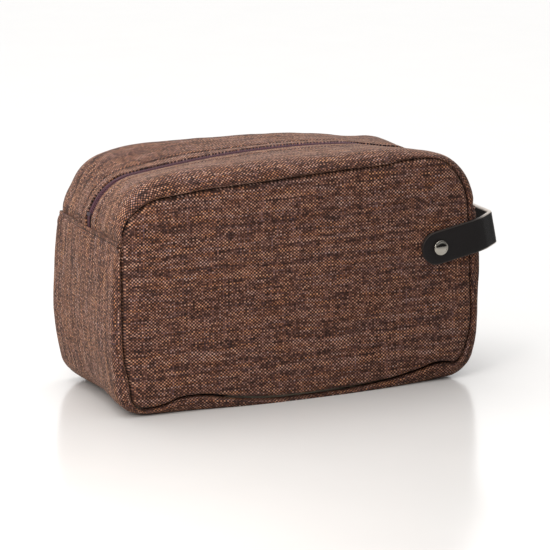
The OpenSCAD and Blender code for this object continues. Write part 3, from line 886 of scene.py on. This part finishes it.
# One side of a nylon coil: a flattened ring of wire at each step, leaning as a coil's turns do
def coilTree():
    z = zipSizes
    tree, source, steps = startTree("zipCoil", [
        ("Step", z["coilPitch"] / 1000), ("Half Width", z["coilHalfWidth"] / 1000),
        ("Half Height", z["coilHalfHeight"] / 1000), ("Wire Radius", z["wireRadius"] / 1000),
        ("Lean", z["coilLean"])])
    ring = addNode(tree, "GeometryNodeCurvePrimitiveCircle", {"Resolution": 14, "Radius": 1.0})
    size = addNode(tree, "ShaderNodeCombineXYZ", {0: source.outputs["Half Width"], 1: source.outputs["Half Height"],
                                                  2: 1.0})
    flatRing = addNode(tree, "GeometryNodeTransform", {"Geometry": ring.outputs[0], "Scale": size.outputs[0]})
    wire = addNode(tree, "GeometryNodeCurvePrimitiveCircle", {"Resolution": 6})
    tree.links.new(source.outputs["Wire Radius"], wire.inputs["Radius"])
    turnOfWire = addNode(tree, "GeometryNodeCurveToMesh", {"Curve": flatRing.outputs[0],
                                                           "Profile Curve": wire.outputs[0]})
    lean = addNode(tree, "ShaderNodeCombineXYZ", {1: source.outputs["Lean"]})
    level = addNode(tree, "FunctionNodeAlignRotationToVector",
                    {"Rotation": turnAlong(tree, lean.outputs[0]), "Vector": (0.0, 1.0, 0.0)},
                    axis="X", pivot_axis="Z")
    return closeTree(tree, source, steps, turnOfWire.outputs[0], level.outputs[0])


# Runs a tree on lines of points and keeps the result as a plain mesh
def runTree(name, lines, tree, material, **sizes):
    points, edges = [], []
    for line in lines:
        first = len(points)
        points += metres(line).tolist()
        edges += [(first + i, first + i + 1) for i in range(len(line) - 1)]
    guide = bpy.data.meshes.new(name + "Guide")
    guide.from_pydata(points, edges, [])
    holder = newObject(name + "Guide", guide)
    modifier = holder.modifiers.new("tree", "NODES")
    modifier.node_group = tree
    sockets = {item.name: item.identifier for item in tree.interface.items_tree if item.in_out == "INPUT"}
    modifier[sockets["Material"]] = material
    for label, value in sizes.items():
        modifier[sockets[label]] = value
    graph = bpy.context.evaluated_depsgraph_get()
    mesh = bpy.data.meshes.new_from_object(holder.evaluated_get(graph))
    bpy.data.objects.remove(holder)
    mesh.name = name
    return newObject(name, mesh)


def coilLine(side):
    z = zipSizes
    first = z["coilInset"] + (0 if side == frontWard else z["coilPitch"] / 2)
    at = np.arange(first, zipRun - z["coilInset"], 0.5)
    out = lie("zipRise", at) - z["coilDepth"] + chainLift(at)
    return placeSection(at, out[:, None], -side * z["coilCentre"] + 0 * out[:, None])[:, 0]


coils = coilTree()
for side, word in sides:
    runTree(word + "CoilTurns", [coilLine(side)], coils, coilNylon, Lean=side * zipSizes["coilLean"])
print("zip coils made")


# Points on the outer cloth beside the zip, at one distance from the lip
def stripStitchLine(side):
    at = np.arange(topstitch["stripFrom"], zipRun - topstitch["stripFrom"], 1.0)
    want = shellLayers["lip"] + topstitch["besideLip"]
    out, y = halfSection(side, at, 0.0, np.full_like(at, shellLayers["lip"]), True)
    level = np.array([np.interp(want, y[i][::-1][:20], out[i][::-1][:20]) for i in range(len(at))])
    line = placeSection(at, (level + foldLift(at))[:, None], -side * want + 0 * at[:, None])
    depth = roughen(line)[:, 0] * smoothStep(np.minimum(at, zipRun - at) / 10) - topstitch["dip"]
    x, z, nx, nz = onOutline(at)
    return line[:, 0] + np.stack([nx, 0 * nx, nz], 1) * (depth + topstitch["proud"])[:, None]


def foldStitchLine(at):
    station = np.array([at])
    halves = []
    for side in (frontWard, rearWard):
        out, y = halfSection(side, station, 0.0, np.zeros(1), True)
        halves.append(placeSection(station, out + 0.5 - topstitch["dip"] + topstitch["proud"], -side * y)[0])
    line = np.concatenate([halves[0], halves[1][-2::-1]])
    return line[9:-9]


stitches = stitchTree()
for side, word in sides:
    runTree(word + "StripTopstitch", [stripStitchLine(side)], stitches, sewingThread)
foldAt = shellLayers["foldOver"] - topstitch["belowFold"]
runTree("gussetFoldTopstitch", [foldStitchLine(zipRun - foldAt), foldStitchLine(loopRun + foldAt)], stitches,
        sewingThread)
print("stitching made")


# ---- leather grab handle ----

def strapPath(s):
    middle = s["inner"] + s["thick"] / 2
    points = [(s["rivetX"] - s["tail"], middle), (s["rivetX"] + s["flatRun"], middle)]
    radius = s["curve"] + s["thick"] / 2
    for degrees in (86, 83, 80, 76, 72):
        a = math.radians(degrees)
        points.append((s["rivetX"] + s["flatRun"] + radius * math.cos(a),
                       s["inner"] - s["curve"] + radius * math.sin(a)))
    for degrees in (72, 60, 48, 36, 24, 12, 0):
        a = math.radians(degrees)
        points.append((s["reach"] - 5 + s["bend"] * math.cos(a), s["inner"] - 7.5 + s["bend"] * math.sin(a)))
    half = np.array(points)
    whole = np.concatenate([half, half[::-1] * (1, -1)])
    run = np.concatenate([[0], np.cumsum(np.hypot(*np.diff(whole, axis=0).T))])
    ends = np.array([0.0, 0.15, 0.4, 0.8, 1.3, 2.0, 2.8, 3.8, 5.0, 6.4, 8.0, 9.6])
    stations = np.concatenate([ends, np.arange(11, run[-1] - 10.5, 1.1), run[-1] - ends[::-1]])
    return stations, np.stack([np.interp(stations, run, whole[:, i]) for i in (0, 1)], 1), run[-1]


def makeStrap(s):
    stations, path, total = strapPath(s)
    heading = np.gradient(path, axis=0)
    heading /= np.linalg.norm(heading, axis=1, keepdims=True)
    away = np.stack([-heading[:, 1], heading[:, 0]], 1)  # out from the bag
    radius, half, flat = s["edge"], s["width"] / 2, s["thick"] / 2
    section = [(w, flat) for w in np.linspace(-half + radius, half - radius, 15)]
    section += [(half - radius + radius * math.sin(a), flat - radius + radius * math.cos(a))
                for a in np.linspace(0.3, 1.5, 4)]
    section += [(w, -h) for w, h in section[::-1][:4]]
    section += [(w, -flat) for w in np.linspace(half - radius, -half + radius, 15)]
    section += [(-w, h) for w, h in section[19:23]] + [(-w, h) for w, h in section[15:19][::-1]]
    section = np.array(section)
    fromEnd = np.minimum(stations, total - stations)
    wide = np.sqrt(np.clip(half**2 - np.clip(half - fromEnd - 0.05, 0, None)**2, 0.02, None)) / half
    thin = np.sqrt(np.clip(1 - np.clip(1 - (fromEnd + 0.1) / 1.0, 0, 1)**2, 0.05, 1))
    w = section[None, :, 0] * wide[:, None]
    h = section[None, :, 1] * thin[:, None]
    x = path[:, 0, None] + away[:, 0, None] * h
    y = path[:, 1, None] + away[:, 1, None] * h
    fromRivet = np.hypot(x - s["rivetX"], w)
    press = s["dimple"] * (1 - smoothStep(fromRivet / s["dimpleReach"]))
    press = press * (np.abs(y) > 50) * (section[None, :, 1] > 0)
    y = y - np.sign(y) * press
    z = s["rivetZ"] + w
    wave = softNoise(x, y, z, 16.0) * 0.12
    x, y = x + away[:, 0, None] * wave, y + away[:, 1, None] * wave
    tilt = math.radians(s["rise"])
    dx, dz = x - s["rivetX"], z - s["rivetZ"]
    grid = np.stack([s["rivetX"] + dx * math.cos(tilt) - dz * math.sin(tilt), -y,
                     s["rivetZ"] + dx * math.sin(tilt) + dz * math.cos(tilt)], 2)
    rows, count = grid.shape[:2]
    faces = tubeFaces(rows, count)
    strap = makePiece("grabHandle", grid.reshape(-1, 3), faces, strapLeather)
    strap.data.materials.append(strapEdge)
    onEdge = [15 <= c < 23 or c >= 38 for c in range(count)]
    strap.data.polygons.foreach_set("material_index", [int(onEdge[i % count] and i < (rows - 1) * count)
                                                       for i in range(len(faces))])
    pointOutwards(strap)
    return strap


strap = makeStrap(strapShape)
print("handle made")

# ---- rivet caps ----

capProfile = [(0, 0.15), (4.3, 0.0), (4.75, 0.1), (4.97, 0.35), (4.97, 0.62), (4.78, 0.86), (4.45, 0.96),
              (4.2, 0.93), (4.05, 0.98), (3.8, 1.2), (3.3, 1.52), (2.6, 1.83), (1.7, 2.06), (0.8, 2.17), (0, 2.2)]


def makeCap(side, node, name):
    low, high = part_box(node)
    centreX, centreZ = (low.x + high.x) * 500, (low.z + high.z) * 500
    seat = min(abs(low.y), abs(high.y)) * 1000
    turns = 48
    points = [(centreX, -side * (seat + capProfile[0][1]), centreZ)]
    for radius, height in capProfile[1:-1]:
        for i in range(turns):
            a = 2 * math.pi * i / turns
            points.append((centreX + radius * math.cos(a), -side * (seat + height), centreZ + radius * math.sin(a)))
    points.append((centreX, -side * (seat + capProfile[-1][1]), centreZ))
    rows = len(capProfile) - 2
    faces = gridFaces(rows, turns, 1, False, True)
    last = len(points) - 1
    faces += [(0, 1 + (i + 1) % turns, 1 + i) for i in range(turns)]
    faces += [(last, last - turns + i, last - turns + (i + 1) % turns) for i in range(turns)]
    cap = makePiece(name, points, faces, steelNickel)
    pointOutwards(cap)
    return cap


for side, word in sides:
    makeCap(side, word + "_rivet_cap", word + "RivetDome")


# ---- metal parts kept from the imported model: eased edges and their finish ----

easedEdges = {"slider_body": 0.22, "slider_crown": 0.25, "pull_tab": 0.3, "zip_top_stops": 0.25,
              "zip_bottom_stop": 0.3}
for name, ease in easedEdges.items():
    part = nodes[name]
    weld = part.modifiers.new("weld", "WELD")
    weld.merge_threshold = 0.000002
    bevel = part.modifiers.new("easedEdges", "BEVEL")
    bevel.width, bevel.segments, bevel.limit_method, bevel.angle_limit = ease / 1000, 3, "ANGLE", math.radians(35)
for name in list(easedEdges) + ["front_rivet_post", "rear_rivet_post", "front_rivet_washer", "rear_rivet_washer"]:
    part = nodes[name]
    if not part.data.materials:
        part.data.materials.append(None)
    for slot in range(len(part.material_slots)):
        finish = stopEnamel if "stop" in name else zincNickel if name in easedEdges else steelNickel
        part.material_slots[slot].material = finish
print("metal finished")

# ---- which body each piece rides on, and what it stands for ----

# piece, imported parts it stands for, finish, body
pieceTable = [
    ("lowerGussetCloth", ["lower_gusset"], "shell_weave", "root"),
    ("lowerGussetFoam", ["gusset_foam"], "padding_foam", "root"),
    ("lowerGussetLining", ["gusset_lining"], "lining", "root"),
    ("leftEndTape", ["left_end_binding"], "binding_tape", "root"),
    ("rightEndTape", ["right_end_binding"], "binding_tape", "root"),
    ("gussetFoldTopstitch", [], "zip_tape", "root"),
    ("grabHandle", ["handle_strap"], "strap_leather", "handle"),
]
for _, word in sides:
    pieceTable += [
        (word + "PanelCloth", [word + "_panel"], "shell_weave", "root"),
        (word + "ZipStripCloth", [word + "_zip_strip"], "shell_weave", "root"),
        (word + "PanelFoam", [word + "_foam"], "padding_foam", "root"),
        (word + "StripFoam", [word + "_strip_foam"], "padding_foam", "root"),
        (word + "PanelLining", [word + "_lining"], "lining", "root"),
        (word + "StripLining", [word + "_strip_lining"], "lining", "root"),
        (word + "SeamTape", [word + "_seam_binding"], "binding_tape", "root"),
        (word + "ZipTapeWoven", [word + "_zip_tape"], "zip_tape", "root"),
        (word + "CoilTurns", [word + "_zip_coil"], "zip_coil", "root"),
        (word + "StripTopstitch", [], "zip_tape", "root"),
        (word + "RivetDome", [word + "_rivet_cap"], "rivet_nickel", "root"),
    ]
for pieceName, stoodFor, finish, body in pieceTable:
    piece = bpy.data.objects[pieceName]
    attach(piece, body)
    if stoodFor:
        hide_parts(*stoodFor)

# ---- camera, floor and light ----

cameraView = {"azimuth": -24.87, "elevation": 13.39, "aim": (5.9, -2.7, 69.8), "distance": 2500.0, "lens": 249.5}


def setCamera(view):
    a, e = math.radians(view["azimuth"]), math.radians(view["elevation"])
    back = Vector((math.sin(a) * math.cos(e), -math.cos(a) * math.cos(e), math.sin(e)))
    camera = newObject("camera", bpy.data.cameras.new("camera"))
    camera.data.lens, camera.data.sensor_width = view["lens"], 36.0
    camera.data.clip_start, camera.data.clip_end = 0.1, 60.0
    camera.location = Vector(metres(view["aim"])) + back * view["distance"] / 1000
    camera.rotation_euler = (-back).to_track_quat("-Z", "Y").to_euler()
    bpy.context.scene.camera = camera


def areaLight(name, place, size, power, colour="#ffffff", target=(0, 0, 0.06)):
    light = bpy.data.lights.new(name, "AREA")
    light.shape, light.size, light.size_y = "RECTANGLE", size[0], size[1]
    light.energy, light.color = power, linearColour(colour)[:3]
    lamp = newObject(name, light)
    lamp.location = place
    lamp.rotation_euler = (Vector(target) - Vector(place)).to_track_quat("-Z", "Y").to_euler()


setCamera(cameraView)
studio = {
    "floorSize": 12.0, "floorLight": "#d3d1cf", "floorDark": "#cfcdcb",
    # the room is brightest high up behind the bag and darkest in front of it
    "brightWay": (-0.2, 0.72, 0.66), "darkest": 0.02, "brightest": 1.4,
}
half = studio["floorSize"] / 2
floorMesh = bpy.data.meshes.new("floor")
floorMesh.from_pydata([(-half, -half, 0), (half, -half, 0), (half, half, 0), (-half, half, 0)], [], [(0, 1, 2, 3)])
# White lacquered board: smooth, with a soft reflection of what stands on it
whiteLacquer = grainedMaterial("whiteLacquer", studio["floorLight"], studio["floorDark"], 60.0, 0.0, 0.18)
floorMesh.materials.append(whiteLacquer)
newObject("floor", floorMesh)
world = bpy.data.worlds.new("studio")
world.use_nodes = True
roomTree = world.node_tree
gaze = addNode(roomTree, "ShaderNodeTexCoord").outputs["Generated"]
toBright = Vector(studio["brightWay"]).normalized()
facing = addNode(roomTree, "ShaderNodeVectorMath", {0: gaze, 1: tuple(toBright)}, operation="DOT_PRODUCT")
glow = addNode(roomTree, "ShaderNodeMapRange", {0: facing.outputs["Value"], 1: -0.3, 2: 0.6,
                                                3: studio["darkest"], 4: studio["brightest"]})
roomTree.links.new(glow.outputs[0], roomTree.nodes["Background"].inputs["Strength"])
roomTree.nodes["Background"].inputs["Color"].default_value = (1.0, 1.0, 1.0, 1.0)
bpy.context.scene.world = world
bpy.context.scene.view_settings.view_transform = "Standard"
areaLight("topSoftbox", (-0.2, 0.05, 1.4), (1.6, 1.0), 11.0)
areaLight("leftSoftbox", (-0.38, -0.36, 0.28), (0.2, 0.3), 1.5, "#fffaf5", (-0.09, -0.05, 0.08))
